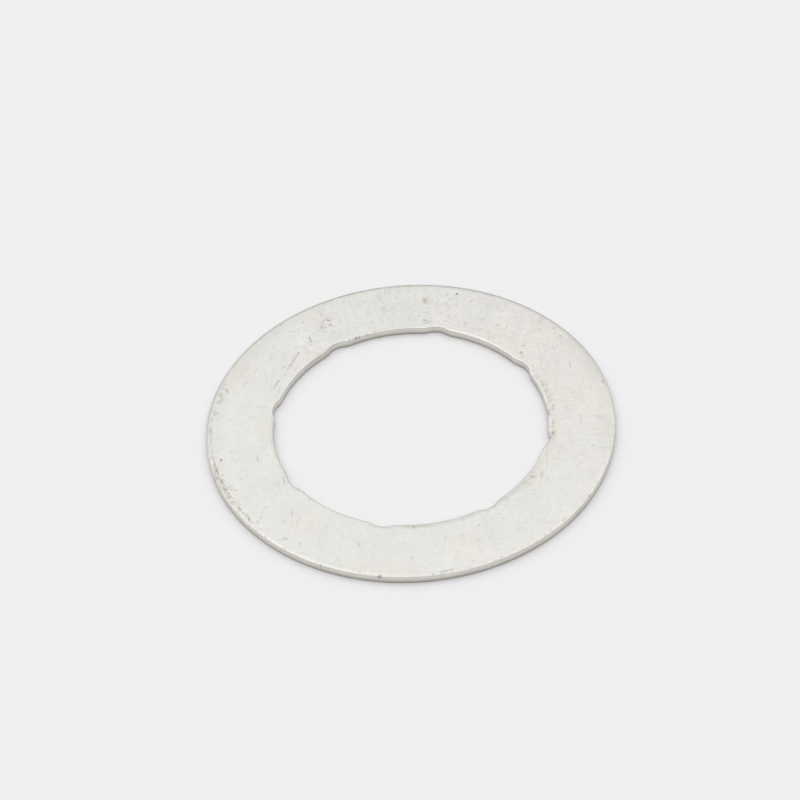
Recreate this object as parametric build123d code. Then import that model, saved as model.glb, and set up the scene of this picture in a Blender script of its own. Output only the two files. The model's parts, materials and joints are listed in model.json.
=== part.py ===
from build123d import *
from math import hypot, sqrt
import os

# Connecting rod washer. A thin flat ring goes on each side of a connecting rod's big end, over the
# crankpin, and takes the side thrust between the rod and the crank web. It is blanked from strip in
# one piece. Eight shallow notches in the bore let oil through to the big end bearing.
# The ring lies flat: the origin is on its axis in the lower face, and +Z is the axis.
# The first notch is on +X. All sizes are in millimetres.

bore_diameter = 22.2  # clears a 22 mm crankpin
face_width = 5.4  # from the bore wall out to the ring's edge, as wide as the rod's side face
thickness = 0.7

notch_count = 8
notch_depth = 0.28  # from the bore wall out to the notch's floor
notch_floor = 0.7  # width of the notch's flat floor
notch_mouth = 2.1  # width of the notch where it opens into the bore
notch_corner = 0.9  # inner radius between the floor and a flank
notch_lip = 1.4  # outer radius between a flank and the bore wall

top_edge_round = 0.08  # the rolled edge that the blanking punch leaves
bottom_edge_round = 0.05  # the lower edge, broken by tumbling

bore_radius = bore_diameter / 2
outer_radius = bore_radius + face_width
notch_pitch = 360 / notch_count
on_bore = 1e-4  # how near to the bore wall a corner of the outline has to lie to be a lip


def notch():
    """The outline that one notch takes out of the ring, on +X, run on past the bore wall."""
    floor_x = bore_radius + notch_depth
    mouth_x = sqrt(bore_radius**2 - (notch_mouth / 2) ** 2)
    flank_x = mouth_x - floor_x
    flank_y = (notch_mouth - notch_floor) / 2
    run_on = 2  # each flank goes on inwards for its own length again
    inner_x = floor_x + run_on * flank_x
    inner_y = notch_floor / 2 + run_on * flank_y
    outline = Polygon(
        (inner_x, -inner_y),
        (floor_x, -notch_floor / 2),
        (floor_x, notch_floor / 2),
        (inner_x, inner_y),
        align=None,
    )
    floor_corners = outline.vertices().group_by(Axis.X)[-1]
    return fillet(floor_corners, notch_corner)


def ring_outline():
    """The flat ring with its notches, and each notch blended into the bore wall."""
    ring = Circle(outer_radius) - Circle(bore_radius)
    for index in range(notch_count):
        ring -= Rot(0, 0, index * notch_pitch) * notch()
    lips = [v for v in ring.vertices() if abs(hypot(v.X, v.Y) - bore_radius) < on_bore]
    return fillet(lips, notch_lip)


def washer():
    """The ring at its full thickness, with the edges of its outline rounded on both faces."""
    blank = extrude(ring_outline(), thickness)
    rolled = fillet(blank.edges().group_by(Axis.Z)[-1], top_edge_round)
    return fillet(rolled.edges().group_by(Axis.Z)[0], bottom_edge_round)


solid = washer().solids()[0]
solid.label = "washer"

os.makedirs("parts", exist_ok=True)
export_step(solid, "parts/washer.step")
print("washer volume", round(solid.volume, 2), "mm3, outer diameter", 2 * outer_radius, "mm")
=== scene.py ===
# %% [markdown]
# # A connecting rod washer, silver-plated
#
# The real part is one thin steel ring that sits beside a connecting rod's big end and takes the side
# thrust there. A press blanks it from strip, so its edges are slightly rolled and its cut walls are
# duller than its faces. It is then tumbled and plated with a few micrometres of silver, which is
# soft, so it shows every knock: pits, short scuffs and a scraped band along one side of the rim.
#
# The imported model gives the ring's true size and place, and everything below is worked out from it.

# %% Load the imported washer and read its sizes
import bpy
import json
import numpy as np
from math import cos, pi, radians, sin, tau
from mathutils import Matrix, Vector


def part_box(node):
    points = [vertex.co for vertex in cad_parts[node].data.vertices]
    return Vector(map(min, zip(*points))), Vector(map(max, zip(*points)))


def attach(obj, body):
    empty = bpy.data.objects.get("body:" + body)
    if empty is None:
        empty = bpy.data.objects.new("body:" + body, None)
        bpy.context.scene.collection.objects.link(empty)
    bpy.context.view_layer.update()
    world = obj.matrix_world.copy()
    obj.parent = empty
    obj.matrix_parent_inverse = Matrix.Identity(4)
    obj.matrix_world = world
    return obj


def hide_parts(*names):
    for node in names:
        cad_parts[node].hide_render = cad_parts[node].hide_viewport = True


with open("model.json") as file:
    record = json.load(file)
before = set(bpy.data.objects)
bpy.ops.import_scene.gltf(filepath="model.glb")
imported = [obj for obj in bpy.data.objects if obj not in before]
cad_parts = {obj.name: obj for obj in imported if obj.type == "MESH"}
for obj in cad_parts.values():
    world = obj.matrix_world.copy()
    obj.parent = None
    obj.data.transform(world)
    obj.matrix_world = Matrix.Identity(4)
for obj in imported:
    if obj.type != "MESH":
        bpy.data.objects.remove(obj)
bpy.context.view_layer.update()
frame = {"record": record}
mm = 0.001
_, top_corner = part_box("washer")
outer_radius = top_corner.x
thickness = top_corner.z
bore_mount = next(m for m in frame["record"]["mounts"] if m["name"] == "crankpin_bore")
bore_radius = bore_mount["dims"]["r_mm"] * mm
face_width = outer_radius - bore_radius
view_turn = radians(14.6)  # from the model's +X to the picture's right, about +Z
print("outer radius", outer_radius, "bore radius", bore_radius, "thickness", thickness)

# %% [markdown]
# ## A helper for node trees
#
# Geometry Nodes and materials are both trees of nodes. Making a node, setting it and linking it are
# the same three steps each time, so one small function does them all. `feeds` maps an input to a
# value or to another node's output, and the keywords set the node's own properties.

# %% One function adds any node
def add(tree, kind, feeds=None, **settings):
    node = tree.nodes.new(kind)
    for name, value in settings.items():
        setattr(node, name, value)
    for key, source in (feeds or {}).items():
        if isinstance(source, bpy.types.NodeSocket):
            tree.links.new(source, node.inputs[key])
        else:
            node.inputs[key].default_value = source
    return node


def linear(code):
    """A hex colour as seen on screen, turned into the linear values that shaders add up."""
    parts = [int(code[i:i + 2], 16) / 255 for i in (1, 3, 5)]
    opaque = 1.0
    return (*(p / 12.92 if p <= 0.04045 else ((p + 0.055) / 1.055) ** 2.4 for p in parts), opaque)


print("linear mid grey", [round(v, 3) for v in linear("#808080")])

# %% [markdown]
# ## The ring's section
#
# Cut through the ring and look along the cut: the section is a long thin rectangle, 5.4 mm by
# 0.7 mm. The punch draws the outer corner down into a shallow roll, five times as wide as it is
# deep. The bore's corner was cut from the other side, so it is only broken by tumbling, and so are
# the lower ones. It could be a rectangle with a Bevel modifier, but a bevel is as wide as it is
# deep, and the cells on the faces would be 5 mm wide. The upper face has to carry small dents, so
# here the outline is written out as points, with narrow cells on the face that shows and wide ones
# below.

# %% Draw the section as a closed outline
roll_width = 0.4 * mm
roll_drop = 0.08 * mm
bore_edge_width = 0.12 * mm
lower_round = 0.05 * mm
cells_across_top = 62
cells_across_bottom = 3
cells_up_wall = 2
roll_steps = 6
round_steps = 3


def corner(centre, wide, high, start, steps):
    """Points on a quarter of an ellipse, clockwise from the angle start, without its two ends."""
    turns = [radians(start - 90 * k / steps) for k in range(1, steps)]
    return [(centre[0] + wide * cos(t), centre[1] + high * sin(t)) for t in turns]


def run(first, last, steps):
    """Evenly spaced points from first to last, both of them included."""
    shares = [k / steps for k in range(steps + 1)]
    return [tuple(a + s * (b - a) for a, b in zip(first, last)) for s in shares]


def section_outline():
    """The section as (distance out from the bore wall, height), clockwise from the bore's edge."""
    shoulder = thickness - roll_drop
    far = face_width - roll_width
    low_far = face_width - lower_round
    top = run((bore_edge_width, thickness), (far, thickness), cells_across_top)
    top += corner((far, shoulder), roll_width, roll_drop, 90, roll_steps)
    outer_wall = run((face_width, shoulder), (face_width, lower_round), cells_up_wall)
    outer_wall += corner((low_far, lower_round), lower_round, lower_round, 0, round_steps)
    bottom = run((low_far, 0.0), (lower_round, 0.0), cells_across_bottom)
    bottom += corner((lower_round, lower_round), lower_round, lower_round, 270, round_steps)
    bore_wall = run((0.0, lower_round), (0.0, shoulder), cells_up_wall)
    bore_wall += corner((bore_edge_width, shoulder), bore_edge_width, roll_drop, 180, roll_steps)
    return top + outer_wall + bottom + bore_wall


outline = section_outline()
section_curve = bpy.data.curves.new("washer_section", "CURVE")
section_curve.dimensions = "3D"
spline = section_curve.splines.new("POLY")
spline.points.add(len(outline) - 1)
for point, (out, up) in zip(spline.points, outline):
    point.co = (out, -up, 0, 1)
spline.use_cyclic_u = True
section = bpy.data.objects.new("washer_section", section_curve)
bpy.context.scene.collection.objects.link(section)
print("section points", len(outline))

# %% [markdown]
# ## Sweep the section and press in the oil notches
#
# The washer follows a simple rule: one section, carried round a circle, with the same shallow notch
# repeated in the bore. That is work for Geometry Nodes. Curve to Mesh carries the section round, and
# a Set Position node then moves the bore's edge outwards wherever a notch is. Each corner's angle is
# wrapped to the nearest notch, and the distance from that notch's middle gives the depth: full over
# the floor, fading smoothly to nothing at the mouth. The shift also fades out across the face.
# Booleans could cut the notches too, but they would leave long thin faces across the upper side,
# and those shade badly on metal. A little noise makes the cut edges as uneven as a worn punch does.

# %% Build the tree with named inputs
blank = bpy.data.node_groups.new("blanked_washer", "GeometryNodeTree")
blank.interface.new_socket("Geometry", in_out="INPUT", socket_type="NodeSocketGeometry")
blank.interface.new_socket("Geometry", in_out="OUTPUT", socket_type="NodeSocketGeometry")
sizes = {
    "Bore Radius": bore_radius,
    "Blend Width": 1.6 * mm,  # how far across the face a notch's shift fades out
    "Notch Depth": 0.28 * mm,
    "Notch Floor": 0.3 * mm,
    "Notch Mouth": 2.5 * mm,
    "Half Pitch": pi / 8,  # half the angle from one of the eight notches to the next
    "Edge Wander": 0.012 * mm,  # how unevenly the punch cut the edges
    "Wander Length": 1.4 * mm,
    "Wander Seed": 3.0,
    "Cells Around": 1080,
}
sockets = {}
for name, value in sizes.items():
    kind = "NodeSocketInt" if isinstance(value, int) else "NodeSocketFloat"
    sockets[name] = blank.interface.new_socket(name, in_out="INPUT", socket_type=kind)
finish_socket = blank.interface.new_socket("Finish", in_out="INPUT",
                                           socket_type="NodeSocketMaterial")
given = add(blank, "NodeGroupInput").outputs
print("inputs", list(sizes))

# %% Sweep the section round the bore's circle
circle = add(blank, "GeometryNodeCurvePrimitiveCircle",
             {"Resolution": given["Cells Around"], "Radius": given["Bore Radius"]})
swept = add(blank, "GeometryNodeCurveToMesh",
            {"Curve": circle.outputs["Curve"], "Profile Curve": given["Geometry"]})
place = add(blank, "GeometryNodeInputPosition").outputs["Position"]
parts = add(blank, "ShaderNodeSeparateXYZ", {0: place}).outputs
flat = add(blank, "ShaderNodeCombineXYZ", {"X": parts["X"], "Y": parts["Y"]}).outputs[0]
radius = add(blank, "ShaderNodeVectorMath", {0: flat}, operation="LENGTH").outputs["Value"]
outwards = add(blank, "ShaderNodeVectorMath", {0: flat}, operation="NORMALIZE").outputs["Vector"]
print("swept")

# %% Work out how deep the nearest notch is at each corner
angle = add(blank, "ShaderNodeMath", {0: parts["Y"], 1: parts["X"]}, operation="ARCTAN2").outputs[0]
other_side = add(blank, "ShaderNodeMath", {0: given["Half Pitch"], 1: -1.0},
                 operation="MULTIPLY").outputs[0]
off_centre = add(blank, "ShaderNodeMath", {0: angle, 1: given["Half Pitch"], 2: other_side},
                 operation="WRAP").outputs[0]
along = add(blank, "ShaderNodeMath", {0: off_centre, 1: given["Bore Radius"]},
            operation="MULTIPLY").outputs[0]
across = add(blank, "ShaderNodeMath", {0: along}, operation="ABSOLUTE").outputs[0]
twice = add(blank, "ShaderNodeMath", {0: across, 1: 2.0}, operation="MULTIPLY").outputs[0]
depth = add(blank, "ShaderNodeMapRange",
            {"Value": twice, "From Min": given["Notch Floor"], "From Max": given["Notch Mouth"],
             "To Min": given["Notch Depth"], "To Max": 0.0},
            interpolation_type="SMOOTHSTEP").outputs[0]
blend_end = add(blank, "ShaderNodeMath", {0: given["Bore Radius"], 1: given["Blend Width"]},
                operation="ADD").outputs[0]
fade = add(blank, "ShaderNodeMapRange",
           {"Value": radius, "From Min": given["Bore Radius"], "From Max": blend_end,
            "To Min": 1.0, "To Max": 0.0}).outputs[0]
print("notch depth worked out")

# %% Shift the corners and finish the mesh
per_metre = add(blank, "ShaderNodeMath", {0: 1.0, 1: given["Wander Length"]}, operation="DIVIDE")
unevenness = add(blank, "ShaderNodeTexNoise",
                 {"Vector": place, "W": given["Wander Seed"], "Scale": per_metre.outputs[0],
                  "Detail": 3.0, "Roughness": 0.6}, noise_dimensions="4D").outputs[0]
inwards = add(blank, "ShaderNodeMath", {0: given["Edge Wander"], 1: -1.0}, operation="MULTIPLY")
wander = add(blank, "ShaderNodeMapRange",
             {"Value": unevenness, "To Min": inwards.outputs[0], "To Max": given["Edge Wander"]})
shift = add(blank, "ShaderNodeMath", {0: depth, 1: fade, 2: wander.outputs[0]},
            operation="MULTIPLY_ADD")
offset = add(blank, "ShaderNodeVectorMath", {0: outwards, "Scale": shift.outputs[0]},
             operation="SCALE")
moved = add(blank, "GeometryNodeSetPosition",
            {"Geometry": swept.outputs[0], "Offset": offset.outputs["Vector"]})
smooth = add(blank, "GeometryNodeSetShadeSmooth", {0: moved.outputs[0]})
real = add(blank, "GeometryNodeRealizeInstances", {0: smooth.outputs[0]})
finished = add(blank, "GeometryNodeSetMaterial",
               {"Geometry": real.outputs[0], "Material": given["Finish"]})
add(blank, "NodeGroupOutput", {0: finished.outputs[0]})
print("nodes in the tree", len(blank.nodes))

# %% Turn the result into a plain mesh
plate = bpy.data.materials.new("tumbled_silver_plate")
plate.use_nodes = True
press = section.modifiers.new("blanking", "NODES")
press.node_group = blank
press[finish_socket.identifier] = plate
for name, value in sizes.items():
    press[sockets[name].identifier] = value
shaped = section.evaluated_get(bpy.context.evaluated_depsgraph_get())
washer_mesh = bpy.data.meshes.new_from_object(shaped)
section.modifiers.remove(press)
bpy.data.objects.remove(section)
washer = bpy.data.objects.new("plated_washer", washer_mesh)
bpy.context.scene.collection.objects.link(washer)
triangles = sum(len(p.vertices) - 2 for p in washer_mesh.polygons)
print("washer triangles", triangles, "vertices", len(washer_mesh.vertices))

# %% [markdown]
# ## A canvas for the wear
#
# Nothing on this washer is printed or drawn, but it has been handled, and that shows as hundreds
# of small marks. They could be real grooves cut with booleans, but they are thinner than a boolean
# can cut cleanly. So they are laid on the mesh's corners, which lie 0.08 mm apart: one value says
# how worn the silver is there, and the corner sinks a little where it was knocked. A finer mark
# than two cells would fall between the corners and not show, so none is drawn under 0.17 mm wide.
# It fades towards its sides and looks half as wide. Every mark is given as it is seen: the angle,
# anticlockwise from the picture's right, and the distance from the centre as a share of the outer
# radius.

# %% Set up the canvas on the mesh's corners
corners = np.empty(len(washer_mesh.vertices) * 3)
washer_mesh.vertices.foreach_get("co", corners)
corners = corners.reshape(-1, 3)
reach = np.hypot(corners[:, 0], corners[:, 1])
seen_angle = np.degrees(np.arctan2(corners[:, 1], corners[:, 0]) - view_turn) % 360
face_reach = 1.01 * roll_drop  # marks go down to the foot of the roll, with a hair to spare
on_face = corners[:, 2] > thickness - face_reach
silver = linear("#deddd8")
paint = np.tile(silver, (len(corners), 1))
soil = np.zeros(len(corners))
wear = np.zeros(len(corners))
dent = np.zeros(len(corners))
print("corners on the face", int(on_face.sum()))

# %% Define how a mark is laid
dent_spread = 1.6  # how many times wider a dent is than its worn line
dot = 1e-12  # square metres, so that a mark without a length doesn't divide by zero


def spot(angle, share):
    """A place on the face from the angle seen in the picture and the share of the outer radius."""
    turn = radians(angle) + view_turn
    return np.array([cos(turn), sin(turn)]) * share * outer_radius


def stroke(first, last, width):
    """1 along the line from first to last, falling smoothly to 0 at half the width to its side."""
    along = last - first
    offsets = corners[:, :2] - first
    share = (offsets @ along / max(along @ along, dot)).clip(0, 1)
    gap = np.linalg.norm(offsets - share[:, None] * along, axis=1)
    return (1 - (2 * gap / width) ** 2).clip(0) ** 2


def cover(mask, colour, strength):
    """Lay a colour over the silver."""
    share = (mask * strength)[:, None]
    paint[:] = paint * (1 - share) + np.array(linear(colour)) * share


def scrape(first, last, width, strength, depth):
    """Wear a line into the face. Its dent is wider than the line, so the rim catches the light."""
    wear[:] = np.maximum(wear, stroke(first, last, width) * on_face * strength)
    dent[:] = np.maximum(dent, stroke(first, last, dent_spread * width) * on_face * depth)


test_dot = stroke(spot(0, 0.84), spot(0, 0.84), 0.3 * mm)
print("corners under a dot 0.3 mm wide", int((test_dot > 0).sum()))

# %% [markdown]
# ## Slow changes of tone, with painted shade and highlights
#
# Plating thickness and handling leave the silver a little warmer in one place and cooler in
# another. These patches are wide and faint. Others are painted light: a wide one is painted shade
# over the near half of the ring, grey bands along the rolled edges are painted shade where the
# edges turn away from the light, and pale ones are painted highlights where they face it. The left
# rim is darker along its edge. It could all be one large noise pattern, but where the patches lie
# is part of this washer's look, so they are placed one by one.

# %% Tone the silver in soft patches, and paint shade and highlights on its edges
def degrees_from(angle):
    """How many degrees each corner lies from an angle, whichever way round is shorter."""
    return np.abs((seen_angle - angle + 180) % 360 - 180)


def patch(angle, half_angle, share, half_share):
    """1 in the middle of a patch of the face, falling smoothly to 0 at its edges."""
    turned = degrees_from(angle) / half_angle
    shifted = np.abs(reach / outer_radius - share) / half_share
    return (1 - turned ** 2 - shifted ** 2).clip(0) ** 2


whole_width = 1.0  # far wider than the face, so that such a patch fades only along the ring
tones_and_painted_light = [  # angle, half angle, share, half share, colour, strength
    # painted shade: a wide patch darkens the near half of the ring
    (262, 110, 0.84, whole_width, "#d1d0cb", 0.3),
    # a warmer tone over the right half of the ring
    (20, 80, 0.84, whole_width, "#e4dcd7", 0.3),
    # painted shade along the edges where they turn away from the light: the near rim and the bore's
    # far and near edges
    (270, 85, 0.990, 0.028, "#b9b6af", 0.27),
    (112, 42, 0.682, 0.012, "#b9b6af", 0.4),
    (298, 62, 0.690, 0.017, "#b9b6af", 0.42),
    # painted shade on the bore's near edge, with a brownish stain in it
    (269, 10, 0.685, 0.011, "#a3958b", 0.35),
    # more painted shade on the bore's near edge
    (255, 9, 0.699, 0.011, "#b9b6af", 0.35),
    (301, 6, 0.700, 0.010, "#b9b6af", 0.3),
    # painted highlight along the bore's far edge
    (60, 34, 0.679, 0.009, "#f6f4ef", 0.45),
    # warmer and cooler tones of the plating
    (138, 12, 0.72, 0.05, "#dbd0ca", 0.25),
    (152, 14, 0.94, 0.07, "#ded4ce", 0.3),
    (119, 8, 0.89, 0.10, "#dad1cb", 0.25),
    (228, 12, 0.80, 0.12, "#e2dad5", 0.3),
    (285, 8, 0.86, 0.13, "#e2d9d3", 0.35),
    (262, 16, 0.96, 0.05, "#dfd7d0", 0.4),
    (178, 34, 0.684, 0.011, "#c3c1ac", 0.35),
    (90, 12, 0.97, 0.035, "#d1d3ca", 0.35),
    (322, 14, 0.70, 0.035, "#d0cac0", 0.4),
    (12, 12, 0.700, 0.03, "#c8c1ab", 0.35),
    (345, 16, 0.705, 0.03, "#cfc6b6", 0.3),
    # darker along the left rim and at its very edge
    (181, 20, 0.990, 0.022, "#b5b1a8", 0.2),
    (180, 12, 0.976, 0.008, "#a9a59b", 0.3),
    (168, 28, 0.997, 0.008, "#8a877f", 0.4),
    # painted shade along the outer rim on the right and on the left
    (15, 60, 0.96, 0.07, "#b9b6af", 0.14),
    (155, 70, 0.96, 0.07, "#b9b6af", 0.14),
    # painted light on the near rim, and a painted highlight on its rolled edge at the left
    (290, 40, 0.95, 0.08, "#f6f4ef", 0.08),
    (247, 26, 0.993, 0.008, "#f6f4ef", 0.2),
    # darker patches on the face beside the bore's far left edge
    (175, 18, 0.72, 0.06, "#b9b6af", 0.12),
    (114, 10, 0.73, 0.05, "#b9b6af", 0.12),
]
for angle_seen, half_angle, share, half_share, colour, strength in tones_and_painted_light:
    cover(patch(angle_seen, half_angle, share, half_share), colour, strength)
print("tones laid", len(tones_and_painted_light))

# %% [markdown]
# ## Stains and soil
#
# Oil has dried in a few places near the edges and left olive and brown spots. The largest are put
# where they lie, and the specks between them are scattered with a fixed seed.

# %% Lay the stains
stains = [  # angle, half angle, share, half share, colour, strength
    (81.9, 1.4, 0.876, 0.035, "#aaa083", 0.5),
    (348.6, 1.3, 0.701, 0.011, "#857659", 0.6),
    (354.0, 4.2, 0.697, 0.006, "#a99d7e", 0.5),
    (360.2, 3.0, 0.679, 0.006, "#6f604c", 0.6),
    (319.9, 1.2, 0.718, 0.012, "#b5a98c", 0.3),
    (3.7, 1.2, 0.707, 0.011, "#9c9385", 0.5),
    (325.3, 0.9, 1.0, 0.010, "#96693f", 0.7),
    (17.6, 0.9, 0.955, 0.012, "#dcb38f", 0.2),
    (281, 1.6, 0.992, 0.010, "#e2dab4", 0.25),
    (198, 14, 0.989, 0.014, "#b8ad9a", 0.45),
    (212, 7, 0.994, 0.010, "#b8ad97", 0.35),
    (194, 6.0, 0.977, 0.005, "#8d816c", 0.45),
    (201.4, 2.0, 0.978, 0.005, "#8d816c", 0.4),
    (210.2, 1.6, 0.974, 0.006, "#8d816c", 0.35),
    (170.6, 1.6, 0.966, 0.018, "#b5a6a1", 0.3),
    (326.5, 2.4, 0.733, 0.014, "#bdbab4", 0.35),
    (247.5, 1.2, 0.967, 0.014, "#cfc5a6", 0.3),
]
dulling = 0.5  # how much of a stain's strength also takes the shine off
for angle_seen, half_angle, share, half_share, colour, strength in stains:
    mask = patch(angle_seen, half_angle, share, half_share)
    cover(mask, colour, strength)
    soil = np.maximum(soil, dulling * strength * mask)
print("stains laid", len(stains))

# %% Dab dried oil along the edges
scatter = np.random.default_rng(11)
oily_edges = [  # first angle, last angle, share, spread of the share, dabs, colour
    (345, 366, 0.694, 0.009, 26, "#857a60"),
    (4, 28, 0.692, 0.010, 34, "#918a78"),
    (196, 224, 0.684, 0.004, 26, "#8f8a72"),
    (300, 326, 0.694, 0.012, 22, "#9a917a"),
    (188, 216, 0.980, 0.008, 44, "#7d7364"),
    (158, 180, 0.972, 0.010, 26, "#7f7a70"),
]
dab_reach = 0.1 * mm
dab_widths = (0.18, 0.3)  # mm
dab_strengths = (0.06, 0.26)
for first_angle, last_angle, share, spread, dabs, colour in oily_edges:
    for dab in range(dabs):
        angle_seen = scatter.uniform(first_angle, last_angle)
        first = spot(angle_seen, scatter.normal(share, spread))
        last = first + scatter.normal(0, dab_reach, 2)
        mask = stroke(first, last, scatter.uniform(*dab_widths) * mm) * on_face
        cover(mask, colour, scatter.uniform(*dab_strengths))
print("edges dabbed", len(oily_edges))

# %% [markdown]
# ## Pits and scuffs
#
# A pit is a hard knock: a dark point with a real dent. A scuff is a short dark dash, and a scratch
# is a long thin one. The scraped band runs along the left rim, where something hard has rubbed. A
# faint dark line lies on the bore's lip, just left of the upper left notch. A noise pattern could
# give marks of this kind, but the eye knows these by their places, so each is written down.

# %% Press in the pits
pit_depth = 0.03 * mm
pits = [  # angle, share, size in mm, strength
    (72.4, 0.947, 0.4, 0.7), (37.2, 0.727, 0.34, 0.65), (217.8, 0.951, 0.36, 0.35),
    (53.8, 0.808, 0.46, 0.4), (50.2, 0.819, 0.46, 0.18), (53.3, 0.792, 0.34, 0.15),
    (38.3, 0.966, 0.34, 0.45), (34.3, 0.951, 0.36, 0.4), (36.4, 0.945, 0.32, 0.2),
    (40.9, 0.914, 0.3, 0.3), (41.8, 0.903, 0.3, 0.22), (39.7, 0.902, 0.28, 0.18),
    (242.3, 1.0, 0.3, 0.5), (258.8, 0.998, 0.5, 0.7), (199.8, 0.968, 0.34, 0.4),
    (201.2, 0.96, 0.3, 0.35), (203.1, 0.972, 0.36, 0.5), (204, 0.963, 0.3, 0.3),
    (208.4, 0.963, 0.36, 0.3), (212, 0.974, 0.3, 0.3),
    (216.8, 0.973, 0.28, 0.25), (203.2, 0.930, 0.3, 0.28), (202.5, 0.952, 0.3, 0.25),
    (220.3, 0.974, 0.3, 0.2), (197.4, 0.970, 0.3, 0.4),
    (71.2, 0.868, 0.46, 0.28), (68.1, 0.872, 0.34, 0.22), (66.8, 0.852, 0.34, 0.2),
    (73.1, 0.852, 0.34, 0.25), (61.9, 0.918, 0.3, 0.22), (74.2, 0.898, 0.32, 0.25),
    (80.9, 0.83, 0.34, 0.18), (84.3, 0.80, 0.4, 0.12), (86.5, 0.78, 0.32, 0.14),
    (85.3, 0.765, 0.34, 0.14), (79.8, 0.775, 0.32, 0.12),
    (87.3, 0.943, 0.4, 0.15), (91.4, 0.908, 0.36, 0.28), (90.3, 0.915, 0.3, 0.14),
    (93.7, 0.868, 0.32, 0.24), (91.0, 0.862, 0.3, 0.18), (104.8, 0.901, 0.34, 0.22),
    (109.4, 0.868, 0.34, 0.13), (101.9, 0.915, 0.34, 0.15), (60.4, 0.97, 0.3, 0.25),
    (116.4, 0.828, 0.34, 0.62), (119.9, 0.822, 0.3, 0.5), (118.6, 0.822, 0.28, 0.4),
    (118.2, 0.843, 0.26, 0.28), (120.5, 0.852, 0.3, 0.2), (117.2, 0.779, 0.36, 0.14),
    (123.1, 0.926, 0.32, 0.28), (128.9, 0.912, 0.32, 0.26), (130.4, 0.775, 0.36, 0.22),
    (131.1, 0.731, 0.34, 0.22), (144.5, 0.868, 0.32, 0.18), (148.8, 0.872, 0.32, 0.2),
    (150.5, 0.87, 0.3, 0.16), (162.7, 0.85, 0.34, 0.12), (129.0, 0.984, 0.36, 0.35),
    (134.6, 0.906, 0.4, 0.1), (162.3, 0.982, 0.25, 0.6), (165.0, 0.972, 0.24, 0.25),
    (168.2, 0.962, 0.24, 0.25), (169.6, 0.984, 0.3, 0.15), (163.6, 0.960, 0.24, 0.22),
    (183.2, 0.82, 0.32, 0.16), (181.0, 0.978, 0.3, 0.45), (185.7, 0.945, 0.36, 0.22),
    (207.3, 0.76, 0.3, 0.14), (212.3, 0.785, 0.3, 0.12), (214.6, 0.864, 0.36, 0.2),
    (199.5, 0.882, 0.34, 0.14), (204.2, 0.867, 0.3, 0.14), (197.2, 0.705, 0.32, 0.16),
    (221.5, 0.79, 0.32, 0.1), (236.4, 0.777, 0.34, 0.22), (233.5, 0.787, 0.3, 0.14),
    (250.2, 0.822, 0.3, 0.2), (252, 0.81, 0.32, 0.1), (268.2, 0.689, 0.32, 0.5),
    (267.4, 0.882, 0.34, 0.22), (265.2, 0.79, 0.34, 0.18), (282.8, 0.98, 0.28, 0.3),
    (284.7, 0.957, 0.34, 0.25), (284.8, 0.745, 0.3, 0.16), (298.5, 0.703, 0.3, 0.3),
    (316.4, 0.772, 0.32, 0.2), (318.6, 0.765, 0.34, 0.2), (323.8, 0.70, 0.34, 0.4),
    (344.3, 0.90, 0.32, 0.25), (9, 0.824, 0.34, 0.16), (5, 0.80, 0.36, 0.1),
    (6.2, 0.755, 0.34, 0.2),
    (58.4, 0.733, 0.34, 0.25), (57.8, 0.745, 0.3, 0.18), (358.6, 0.77, 0.3, 0.1),
    (111.0, 0.676, 0.24, 0.8), (109.7, 0.676, 0.22, 0.65), (105.5, 0.677, 0.24, 0.45),
]
for angle_seen, share, size, strength in pits:
    middle = spot(angle_seen, share)
    scrape(middle, middle, size * mm, strength, pit_depth * strength)
print("pits pressed", len(pits))

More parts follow.
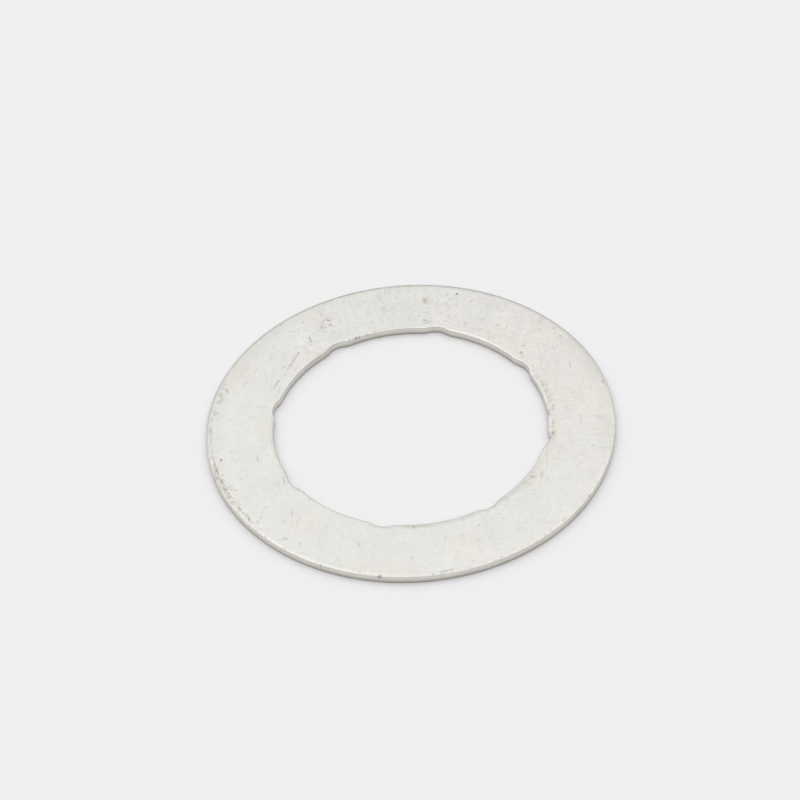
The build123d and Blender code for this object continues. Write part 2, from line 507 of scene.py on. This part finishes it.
# %% Draw the scuffs and scratches
scuff_depth = 0.01 * mm
thinned = 0.85  # the table's widths are as they look, blurred a little by the picture
scuffs = [  # angle and share at one end, at the other, width in mm, strength
    (186.0, 0.977, 188.2, 0.977, 0.26, 0.22), (188.6, 0.975, 190.4, 0.977, 0.24, 0.4),
    (190.6, 0.978, 192.2, 0.979, 0.25, 0.42), (192.6, 0.977, 194.2, 0.976, 0.26, 0.45),
    (194.4, 0.978, 196.0, 0.974, 0.24, 0.42), (197.0, 0.977, 197.8, 0.968, 0.26, 0.42),
    (197.8, 0.975, 199.6, 0.974, 0.32, 0.4), (200.6, 0.978, 202.2, 0.976, 0.32, 0.55),
    (204.4, 0.975, 205.2, 0.974, 0.3, 0.35), (209.4, 0.973, 211.0, 0.975, 0.32, 0.45),
    (214.3, 0.973, 215.5, 0.974, 0.3, 0.42), (213.0, 0.970, 213.8, 0.969, 0.28, 0.2),
    (188.0, 0.962, 189.6, 0.968, 0.22, 0.2),
    (194.6, 0.966, 196.4, 0.958, 0.22, 0.2), (194.2, 0.988, 197.0, 0.999, 0.24, 0.35),
    (196.0, 0.986, 198.0, 0.992, 0.22, 0.25), (200.6, 0.948, 203.0, 0.938, 0.22, 0.2),
    (206.4, 0.970, 208.0, 0.980, 0.24, 0.25), (207.0, 0.992, 208.6, 0.984, 0.24, 0.2),
    (189.7, 0.941, 190.2, 0.941, 0.3, 0.68), (217.4, 0.938, 216.7, 0.922, 0.3, 0.2),
    (228.0, 0.949, 228.6, 0.938, 0.3, 0.32), (233.6, 0.945, 232.6, 0.920, 0.26, 0.16),
    (134.2, 0.766, 136.2, 0.757, 0.34, 0.42), (136.2, 0.757, 138.6, 0.748, 0.32, 0.36),
    (138.6, 0.747, 141.2, 0.742, 0.34, 0.42), (141.2, 0.741, 143.4, 0.735, 0.3, 0.34),
    (143.4, 0.735, 145.6, 0.731, 0.26, 0.2), (146.6, 0.729, 148.2, 0.726, 0.3, 0.2),
    (150.6, 0.732, 153.0, 0.731, 0.3, 0.42), (153.0, 0.731, 155.2, 0.733, 0.26, 0.3),
    (135.0, 0.775, 139.0, 0.760, 0.24, 0.16), (150.0, 0.775, 154.8, 0.752, 0.22, 0.14),
    (143.0, 0.763, 144.2, 0.759, 0.3, 0.2), (148.0, 0.772, 149.0, 0.768, 0.28, 0.2),
    (125.6, 0.822, 126.3, 0.803, 0.28, 0.4), (126.3, 0.803, 126.6, 0.790, 0.28, 0.5),
    (126.6, 0.790, 126.9, 0.777, 0.28, 0.45), (128.5, 0.757, 127.6, 0.768, 0.24, 0.3),
    (128.0, 0.778, 127.6, 0.788, 0.24, 0.25),
    (118.5, 0.858, 117.9, 0.868, 0.26, 0.25), (117.9, 0.869, 116.9, 0.872, 0.28, 0.32),
    (116.6, 0.872, 116.0, 0.862, 0.3, 0.52), (116.0, 0.862, 115.7, 0.848, 0.3, 0.52),
    (119.4, 0.842, 119.8, 0.826, 0.28, 0.52), (120.9, 0.803, 119.6, 0.800, 0.3, 0.3),
    (116.5, 0.942, 117.2, 0.897, 0.22, 0.26), (115.4, 0.935, 116.0, 0.900, 0.2, 0.12),
    (75.2, 0.942, 75.2, 0.924, 0.32, 0.36), (66.4, 0.928, 67.2, 0.908, 0.34, 0.26),
    (74.5, 0.868, 74.0, 0.860, 0.26, 0.25), (82.7, 0.902, 82.1, 0.858, 0.24, 0.25),
    (78.1, 0.862, 77.4, 0.850, 0.3, 0.25), (96.7, 0.815, 95.2, 0.850, 0.24, 0.28),
    (92.2, 0.825, 92.0, 0.812, 0.28, 0.14), (97.0, 0.938, 97.1, 0.924, 0.28, 0.22),
    (94.8, 0.985, 94.6, 0.945, 0.22, 0.2), (93.6, 0.985, 93.5, 0.942, 0.22, 0.22),
    (81.6, 0.733, 80.5, 0.727, 0.3, 0.5), (79.8, 0.734, 78.9, 0.727, 0.26, 0.3),
    (78.9, 0.724, 80.2, 0.714, 0.26, 0.3), (81.5, 0.713, 81.0, 0.708, 0.26, 0.3),
    (65.6, 0.760, 64.0, 0.715, 0.2, 0.16),
    (20.9, 0.872, 22.2, 0.880, 0.32, 0.36), (22.2, 0.880, 24.4, 0.887, 0.22, 0.12),
    (33.0, 0.886, 31.2, 0.868, 0.26, 0.18), (44.6, 0.985, 43.0, 0.940, 0.22, 0.18),
    (58.6, 0.925, 57.2, 0.900, 0.22, 0.16), (57.6, 0.925, 56.6, 0.905, 0.2, 0.12),
    (39.8, 0.780, 39.0, 0.772, 0.28, 0.22), (39.8, 0.766, 38.4, 0.758, 0.26, 0.18),
    (36.2, 0.722, 34.0, 0.702, 0.24, 0.2), (35.2, 0.728, 33.6, 0.712, 0.2, 0.14),
    (30.6, 0.785, 28.6, 0.770, 0.24, 0.16), (30.0, 0.770, 27.6, 0.757, 0.22, 0.14),
    (24.6, 0.747, 22.6, 0.741, 0.24, 0.2), (29.0, 0.720, 27.6, 0.711, 0.24, 0.2),
    (10.6, 0.917, 8.8, 0.913, 0.26, 0.14), (12.0, 0.985, 10.6, 0.980, 0.28, 0.35),
    (191.4, 0.766, 194.0, 0.772, 0.26, 0.22), (208.8, 0.746, 207.6, 0.738, 0.3, 0.22),
    (222.2, 0.800, 224.0, 0.820, 0.24, 0.22), (226.3, 0.826, 228.4, 0.856, 0.22, 0.16),
    (223.8, 0.874, 222.4, 0.864, 0.28, 0.14), (209.6, 0.714, 206.0, 0.698, 0.26, 0.3),
    (171.8, 0.790, 171.2, 0.772, 0.3, 0.22), (166.3, 0.778, 165.7, 0.718, 0.2, 0.2),
    (160.0, 0.954, 161.8, 0.940, 0.24, 0.42), (164.0, 0.963, 165.2, 0.957, 0.2, 0.34),
    (162.0, 0.970, 163.4, 0.964, 0.2, 0.3), (170.7, 0.970, 170.6, 0.953, 0.3, 0.2),
    (157.8, 0.986, 158.6, 0.978, 0.22, 0.3), (166.6, 0.978, 166.2, 0.958, 0.2, 0.18),
    (176.8, 0.978, 178.4, 0.979, 0.3, 0.45), (142.7, 0.845, 141.8, 0.853, 0.24, 0.2),
    (156.0, 0.884, 155.8, 0.872, 0.26, 0.18),
    (276.2, 0.985, 278.4, 0.981, 0.3, 0.5), (275.6, 0.996, 275.4, 0.986, 0.28, 0.35),
    (246.3, 0.946, 245.6, 0.934, 0.3, 0.22), (285.4, 0.795, 285.0, 0.775, 0.3, 0.16),
    (292.4, 0.758, 290.6, 0.772, 0.3, 0.22), (237.0, 0.782, 236.2, 0.772, 0.3, 0.2),
    (126.4, 0.6735, 132.5, 0.6735, 0.2, 0.14), (132.5, 0.6735, 138.8, 0.6735, 0.2, 0.1),
    (357.6, 0.835, 356.0, 0.834, 0.26, 0.35), (356.0, 0.834, 354.2, 0.832, 0.22, 0.22),
    (357.0, 0.935, 357.3, 0.915, 0.26, 0.22), (357.3, 0.905, 357.2, 0.858, 0.2, 0.18),
    (351.8, 0.915, 351.2, 0.862, 0.22, 0.16), (344.2, 0.982, 344.2, 0.945, 0.2, 0.18),
    (337.0, 0.880, 333.0, 0.872, 0.3, 0.1), (342.6, 0.752, 341.6, 0.760, 0.28, 0.14),
    (345.0, 0.906, 344.4, 0.901, 0.28, 0.16), (324.6, 0.748, 327.6, 0.720, 0.3, 0.14),
]
for first_angle, first_share, last_angle, last_share, width, strength in scuffs:
    first, last = spot(first_angle, first_share), spot(last_angle, last_share)
    scrape(first, last, width * thinned * mm, strength, scuff_depth * strength)
print("scuffs drawn", len(scuffs))

# %% [markdown]
# ## The fine wear that has no fixed place, with painted sheen and glints
#
# Between the marks that catch the eye lie hundreds that don't: specks and dashes a tenth of a
# millimetre wide, which the other washers in the tumbling drum have left, and hairlines from being
# slid about. They are scattered with a fixed seed, the specks thickest over the far side of the
# ring, the hairlines on its right, and nicks along the rim, which knocks against everything. The
# left rim was rubbed in one slanting direction: half of its streaks are worn dark, and half are
# painted bright, as sheen where the rubbed metal catches the light. By the upper left notch, the
# punch tore a row of tiny nicks in the bore's edge, and half of them are painted white as glints.

# %% Scatter the fine wear
fine_marks = 1300
busy_share = 0.65  # of the marks lie around the middle of the far side
busy_middle, busy_spread = 88, 36  # degrees
fine_shares = (0.69, 0.985)
fine_length = 0.14 * mm
fine_widths = (0.17, 0.3)  # mm
fine_wear = (0.02, 0.15)
no_dent = 0


def step(heading, length):
    """The way from a mark's one end to the other."""
    return np.array([cos(heading), sin(heading)]) * length


for mark in range(fine_marks):
    busy = scatter.random() < busy_share
    angle_seen = scatter.normal(busy_middle, busy_spread) if busy else scatter.uniform(0, 360)
    first = spot(angle_seen, scatter.uniform(*fine_shares))
    heading = scatter.uniform(0, tau)
    last = first + step(heading, scatter.exponential(fine_length))
    scrape(first, last, scatter.uniform(*fine_widths) * mm, scatter.uniform(*fine_wear), no_dent)
print("fine marks scattered", fine_marks)

# %% Scatter the hairlines
hairlines = 130
hairline_middle, hairline_spread = 15, 45  # degrees
hairline_shares = (0.70, 0.98)
hairline_lengths = (0.5, 1.6)  # mm
hairline_wear = (0.03, 0.11)
slide_spread = 0.25  # radians either side of the two ways that the washer was slid
finest = 0.18 * mm  # about the narrowest stroke that the corners can carry
for hairline in range(hairlines):
    angle_seen = scatter.normal(hairline_middle, hairline_spread)
    first = spot(angle_seen, scatter.uniform(*hairline_shares))
    heading = scatter.choice([0, 0.5]) * pi + view_turn + scatter.normal(0, slide_spread)
    last = first + step(heading, scatter.uniform(*hairline_lengths) * mm)
    scrape(first, last, finest, scatter.uniform(*hairline_wear), no_dent)
print("hairlines scattered", hairlines)

# %% Rub the left rim, and paint sheen on half of its streaks
rubbed_streaks = 110
rub_angles = (189, 221)
rub_shares = (0.966, 0.999)
rub_runs = (0.3, 1.3)  # how many degrees a streak runs back
rub_slant = 0.01  # how far in it comes for each of them, as a share of the outer radius
rub_wear = (0.05, 0.22)
rub_depth = 0.003 * mm
painted_sheen_strengths = (0.15, 0.45)
for streak in range(rubbed_streaks):
    angle_seen, share = scatter.uniform(*rub_angles), scatter.uniform(*rub_shares)
    run_back = scatter.uniform(*rub_runs)
    first = spot(angle_seen, share)
    last = spot(angle_seen - run_back, share - rub_slant * run_back)
    if streak % 2:
        scrape(first, last, finest, scatter.uniform(*rub_wear), rub_depth)
    else:
        # painted sheen: every other streak is painted bright, where the rubbed metal catches the
        # light
        cover(stroke(first, last, finest) * on_face, "#f1ede6", scatter.uniform(*painted_sheen_strengths))
print("rubbed streaks", rubbed_streaks)

# %% Nick the rim
rim_nicks = 170
rim_share, rim_spread = 0.990, 0.003
nick_widths = (0.2, 0.34)  # mm
nick_wear = (0.08, 0.3)
nick_depth = 0.004 * mm
for nick in range(rim_nicks):
    angle_seen = scatter.uniform(0, 360)
    middle = spot(angle_seen, scatter.normal(rim_share, rim_spread))
    width = scatter.uniform(*nick_widths) * mm
    scrape(middle, middle, width, scatter.uniform(*nick_wear), nick_depth)
print("rim nicks", rim_nicks)

# %% Tear the bore's edge by the upper left notch, and paint glints on half of the nicks
torn_nicks = 34
torn_angles = (102, 116)
torn_shares = (0.6745, 0.684)
torn_back, torn_out = 0.4, 0.004  # degrees, and a share of the outer radius
torn_wear = (0.1, 0.4)
torn_depth = 0.012 * mm
torn_glint_strength = 0.45
for nick in range(torn_nicks):
    angle_seen = scatter.uniform(*torn_angles)
    share = scatter.uniform(*torn_shares)
    first, last = spot(angle_seen, share), spot(angle_seen - torn_back, share + torn_out)
    if nick % 2:
        scrape(first, last, finest, scatter.uniform(*torn_wear), torn_depth)
    else:
        # painted glint: every other nick is painted white, where the torn edge catches the light
        cover(stroke(first, last, finest) * on_face, "#ffffff", torn_glint_strength)
print("torn nicks", torn_nicks)

# %% [markdown]
# ## The cut walls
#
# A punch leaves a duller surface on the walls than rolling leaves on the faces. Each wall's foot
# is painted dark brown: partly the dirt that gathers where the wall turns under, partly painted
# shade where the wall meets the card. The walls could be a second material, but one material can
# tell the corners of a wall by a share, from 0 on a face to 1 on a wall, and it then fades over
# the rolled edge as the real surface does. On the bore's wall, just left of the upper left notch,
# one stretch is a little darker and ends in a small nick at each side.

# %% Mark the walls, their dirt and the painted shade at their foot
cut_starts = 0.4 * roll_drop  # how far below the face the roll gives way to the cut
cut_heights = [0, lower_round, thickness - roll_drop, thickness - cut_starts]
cut = np.interp(corners[:, 2], cut_heights, [0, 1, 1, 0])
cover(cut, "#e3e0d9", 1.0)
# painted shade and dirt: the walls darken to brown towards their foot
dark_foot_height = 0.2 * mm
foot_dirt_and_shade = np.interp(corners[:, 2], [0, dark_foot_height], [1, 0])
cover(foot_dirt_and_shade, "#553f28", 0.52)
past_notches = 0.5 * mm  # further out than a notch's floor
on_bore_wall = cut * (reach < bore_radius + past_notches)
wall_marks = [  # angle, half angle, colour, strength
    (132.5, 7.0, "#c6c2b8", 0.15), (126.6, 0.4, "#6b6358", 0.28), (138.6, 0.4, "#6b6358", 0.28),
]
for angle_seen, half_angle, colour, strength in wall_marks:
    turned = degrees_from(angle_seen) / half_angle
    cover((1 - turned ** 2).clip(0) * on_bore_wall, colour, strength)
print("corners on a cut wall", int((cut > 0.5).sum()))

# %% Press the dents and store the canvas on the mesh
corners[:, 2] -= dent
washer_mesh.vertices.foreach_set("co", corners.ravel())
washer_mesh.attributes.new("paint", "FLOAT_COLOR", "POINT").data.foreach_set("color", paint.ravel())
for name, values in {"soil": soil, "wear": wear, "cut_wall": cut}.items():
    washer_mesh.attributes.new(name, "FLOAT", "POINT").data.foreach_set("value", values)
washer_mesh.update()
print("deepest dent", round(dent.max() / mm, 3), "mm")

# %% [markdown]
# ## The silver finish
#
# Silver plate straight from a tumbling drum is satin: bright, but with no sharp reflections. Its
# grain is a cloud of tiny dents that overlap at every size, from 2.5 mm down to a tenth of one, and
# under it the faint lines of the rolled strip still run one way. It could be one flat roughness,
# but then it would look like paint. Here one noise pattern with many octaves and one stretched
# along the strip shade the silver by a few parts in a hundred, another tints it faintly, and a fine
# grain and two sets of hairlines only move the bump, so that they show where the light is low. The
# worn places take a dark colour, broken up by fine flecks, so that no scratch is evenly dark.

# %% Start the plate's material with its cloud of dents
tree = plate.node_tree
tree.nodes.clear()
here = add(tree, "ShaderNodeTexCoord").outputs["Object"]
painted = add(tree, "ShaderNodeAttribute", attribute_name="paint").outputs["Color"]
soiled = add(tree, "ShaderNodeAttribute", attribute_name="soil").outputs["Fac"]
worn = add(tree, "ShaderNodeAttribute", attribute_name="wear").outputs["Fac"]
wall = add(tree, "ShaderNodeAttribute", attribute_name="cut_wall").outputs["Fac"]
least, most = 0.3, 0.7  # nearly all of a noise's values lie between these
cloud_size = 2.5 * mm
cloud = add(tree, "ShaderNodeTexNoise",
            {"Vector": here, "Scale": 1 / cloud_size, "Detail": 5.0, "Roughness": 0.8}).outputs[0]
cloud_shade = add(tree, "ShaderNodeMapRange",
                  {"Value": cloud, "From Min": least, "From Max": most,
                   "To Min": 0.945, "To Max": 1.055})
print("cloud nodes", len(tree.nodes))

# %% Add the lines of the rolled strip
strip_turn = radians(-15)  # from the model's +Y to the way the strip was rolled
strip_stretch = 0.3
strip_spacing = 0.22 * mm  # life has them finer, but then they wouldn't show
strip = add(tree, "ShaderNodeMapping",
            {"Vector": here, "Rotation": (0, 0, strip_turn), "Scale": (1, strip_stretch, 1)})
strip_lines = add(tree, "ShaderNodeTexNoise",
                  {"Vector": strip.outputs[0], "Scale": 1 / strip_spacing,
                   "Detail": 2.0, "Roughness": 0.7})
strip_shade = add(tree, "ShaderNodeMapRange",
                  {"Value": strip_lines.outputs[0], "From Min": least, "From Max": most,
                   "To Min": 0.972, "To Max": 1.028})
shade = add(tree, "ShaderNodeMath", {0: cloud_shade.outputs[0], 1: strip_shade.outputs[0]},
            operation="MULTIPLY").outputs[0]
print("shading nodes", len(tree.nodes))

# %% Tint it and wear it down
tint_size = 2.2 * mm
tint_cloud = add(tree, "ShaderNodeTexNoise",
                 {"Vector": here, "Scale": 1 / tint_size, "Detail": 3.0, "Roughness": 0.6})
tint_share = add(tree, "ShaderNodeMapRange",
                 {"Value": tint_cloud.outputs[0], "From Min": 0.35, "From Max": 0.65})
tint = add(tree, "ShaderNodeMix",
           {0: tint_share.outputs[0], 6: linear("#feffff"), 7: linear("#fffefe")},
           data_type="RGBA")
tinted = add(tree, "ShaderNodeMix", {0: 1.0, 6: painted, 7: tint.outputs[2]}, data_type="RGBA",
             blend_type="MULTIPLY")
shaded = add(tree, "ShaderNodeVectorMath", {0: tinted.outputs[2], "Scale": shade},
             operation="SCALE")
fleck_size = 0.2 * mm
fleck_noise = add(tree, "ShaderNodeTexNoise",
                  {"Vector": here, "Scale": 1 / fleck_size, "Detail": 1.0}).outputs[0]
flecks = add(tree, "ShaderNodeMapRange",
             {"Value": fleck_noise, "From Min": 0.35, "From Max": 0.65,
              "To Min": 0.35, "To Max": 1.15})
broken = add(tree, "ShaderNodeMath", {0: worn, 1: flecks.outputs[0]}, operation="MULTIPLY",
             use_clamp=True).outputs[0]
colour = add(tree, "ShaderNodeMix",
             {0: broken, 6: shaded.outputs["Vector"], 7: linear("#3f3a33")}, data_type="RGBA")
print("colour nodes", len(tree.nodes))

# %% Add the grain and the hairlines as a bump
grain_size = 0.16 * mm  # coarser than the real grain, which is too fine to show
grain = add(tree, "ShaderNodeTexNoise",
            {"Vector": here, "Scale": 1 / grain_size, "Detail": 2.0, "Roughness": 0.6})
height = grain.outputs[0]
hairline_width = 0.12 * mm
hairline_stretch = 0.06
for turn in (25, -50):  # degrees, for the two ways that the washer was slid
    laid = add(tree, "ShaderNodeMapping",
               {"Vector": here, "Rotation": (0, 0, radians(turn)),
                "Scale": (hairline_stretch, 1, 1)})
    lines = add(tree, "ShaderNodeTexNoise",
                {"Vector": laid.outputs[0], "Scale": 1 / hairline_width, "Detail": 1.0})
    height = add(tree, "ShaderNodeMath", {0: lines.outputs[0], 1: height},
                 operation="ADD").outputs[0]
bump = add(tree, "ShaderNodeBump", {"Strength": 0.5, "Distance": 0.004 * mm, "Height": height})
print("grain nodes", len(tree.nodes))

# %% Dull what is cut, soiled or worn, and finish the shader
cut_roughness = 0.5
soiled_roughness = 0.7
satin = add(tree, "ShaderNodeMapRange",
            {"Value": cloud, "From Min": least, "From Max": most, "To Min": 0.37, "To Max": 0.43})
rough = add(tree, "ShaderNodeMix", {0: wall, 2: satin.outputs[0], 3: cut_roughness},
            data_type="FLOAT")
spoilt = add(tree, "ShaderNodeMath", {0: soiled, 1: broken}, operation="MAXIMUM").outputs[0]
dull = add(tree, "ShaderNodeMix", {0: spoilt, 2: rough.outputs[0], 3: soiled_roughness},
           data_type="FLOAT")
bare = add(tree, "ShaderNodeMapRange", {"Value": spoilt, "To Min": 1.0, "To Max": 0.4})
surface = add(tree, "ShaderNodeBsdfPrincipled",
              {"Base Color": colour.outputs[2], "Metallic": bare.outputs[0],
               "Roughness": dull.outputs[0], "Normal": bump.outputs[0]})
add(tree, "ShaderNodeOutputMaterial", {"Surface": surface.outputs[0]})
print("plate material nodes", len(tree.nodes))

# %% [markdown]
# ## The camera
#
# The photograph looks down at 45 degrees from about 22 cm, through a long lens, and is held a few
# degrees off level. All of it was worked out from the two ellipses that the ring's edges make.
# The ring itself is turned too, so the view turns with it to show each notch where it lies.

# %% Place the camera
view_height = radians(44.9346)
view_roll = radians(4.073)
view_distance = 13.108 * outer_radius
aim_right = 0.0423 * outer_radius
aim_up = -0.1144 * outer_radius
lens_in_pixels = 2681.2
picture_width = 800
right = Vector((cos(view_turn), sin(view_turn), 0))
ahead = Vector((-sin(view_turn), cos(view_turn), 0))
up = ahead * sin(view_height) + Vector((0, 0, cos(view_height)))
back = Vector((0, 0, sin(view_height))) - ahead * cos(view_height)
seat = Vector((0, 0, thickness)) - right * aim_right - up * aim_up + back * view_distance
rolled_right = right * cos(view_roll) - up * sin(view_roll)
rolled_up = right * sin(view_roll) + up * cos(view_roll)
lens = bpy.data.cameras.new("product_camera")
lens.sensor_width = 36.0
lens.lens = lens_in_pixels / picture_width * lens.sensor_width
lens.clip_start = 0.01
camera = bpy.data.objects.new("product_camera", lens)
turned = Matrix((rolled_right, rolled_up, back)).transposed().to_4x4()
camera.matrix_world = Matrix.Translation(seat) @ turned
bpy.context.scene.collection.objects.link(camera)
bpy.context.scene.camera = camera
print("camera at", [round(c, 4) for c in seat], "lens", round(lens.lens, 2), "mm")

# %% [markdown]
# ## The floor and the light
#
# The washer lies on white card in a light tent. The card is matte, so it shows the soft shadow and
# no reflection. The tent's roof is bright and wide. Two lamps shine through its back, and the
# stronger one, on the left, throws the short shadow in front of the ring. A third, in front and
# around the camera, lights the near wall, and the sides glow faintly. Each source could be an area
# lamp, but lamps this close leave hard streaks on the rolled edges, so the sky itself is brighter
# in those directions.

# %% Lay the floor
floor_size = 3.0
half = floor_size / 2
floor_mesh = bpy.data.meshes.new("white_card")
floor_mesh.from_pydata([(-half, -half, 0), (half, -half, 0), (half, half, 0), (-half, half, 0)], [],
                       [(0, 1, 2, 3)])
floor = bpy.data.objects.new("white_card", floor_mesh)
bpy.context.scene.collection.objects.link(floor)
card = bpy.data.materials.new("matte_white_card")
card.use_nodes = True
card_tree = card.node_tree
card_tree.nodes.clear()
card_surface = add(card_tree, "ShaderNodeBsdfPrincipled",
                   {"Base Color": linear("#f2f2f3"), "Roughness": 0.9, "Specular IOR Level": 0.0})
add(card_tree, "ShaderNodeOutputMaterial", {"Surface": card_surface.outputs[0]})
floor_mesh.materials.append(card)
print("floor laid")

# %% Light the tent
def towards(bearing, height):
    """The unit vector towards a bearing, counted as the marks are, and a height in degrees."""
    turn = radians(bearing) + view_turn
    return Vector((cos(turn) * cos(radians(height)), sin(turn) * cos(radians(height)),
                   sin(radians(height))))


world = bpy.data.worlds.new("light_tent")
bpy.context.scene.world = world
world.use_nodes = True
sky_tree = world.node_tree
sky_tree.nodes.clear()
direction = add(sky_tree, "ShaderNodeTexCoord").outputs["Generated"]
glow = 0.275
wide, narrow = 3.0, 8.0  # the powers that make a box fade over about 70 and over about 45 degrees
soft_boxes = [  # bearing, height, strength, fading
    (0, 90, 0.80, wide),
    (135, 45, 0.97, narrow),
    (45, 45, 0.72, narrow),
    (90, 45, 0.10, narrow),
    (0, 45, 0.15, narrow),
    (180, 45, 0.14, narrow),
    (270, 45, 0.62, narrow),
]
level = glow
for bearing, box_height, strength, fading in soft_boxes:
    facing = add(sky_tree, "ShaderNodeVectorMath",
                 {0: direction, 1: towards(bearing, box_height)},
                 operation="DOT_PRODUCT").outputs["Value"]
    on_its_side = add(sky_tree, "ShaderNodeMath", {0: facing, 1: 0.0},
                      operation="MAXIMUM").outputs[0]
    lobe = add(sky_tree, "ShaderNodeMath", {0: on_its_side, 1: fading},
               operation="POWER").outputs[0]
    level = add(sky_tree, "ShaderNodeMath", {0: lobe, 1: strength, 2: level},
                operation="MULTIPLY_ADD").outputs[0]
sky = add(sky_tree, "ShaderNodeBackground", {"Color": (1, 1, 1, 1), "Strength": level})
add(sky_tree, "ShaderNodeOutputWorld", {"Surface": sky.outputs[0]})
print("soft boxes", len(soft_boxes))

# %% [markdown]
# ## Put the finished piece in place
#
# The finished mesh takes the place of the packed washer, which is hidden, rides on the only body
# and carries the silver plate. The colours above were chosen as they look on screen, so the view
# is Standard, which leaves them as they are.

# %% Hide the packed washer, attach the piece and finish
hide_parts("washer")
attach(washer, "root")
bpy.context.scene.view_settings.view_transform = "Standard"
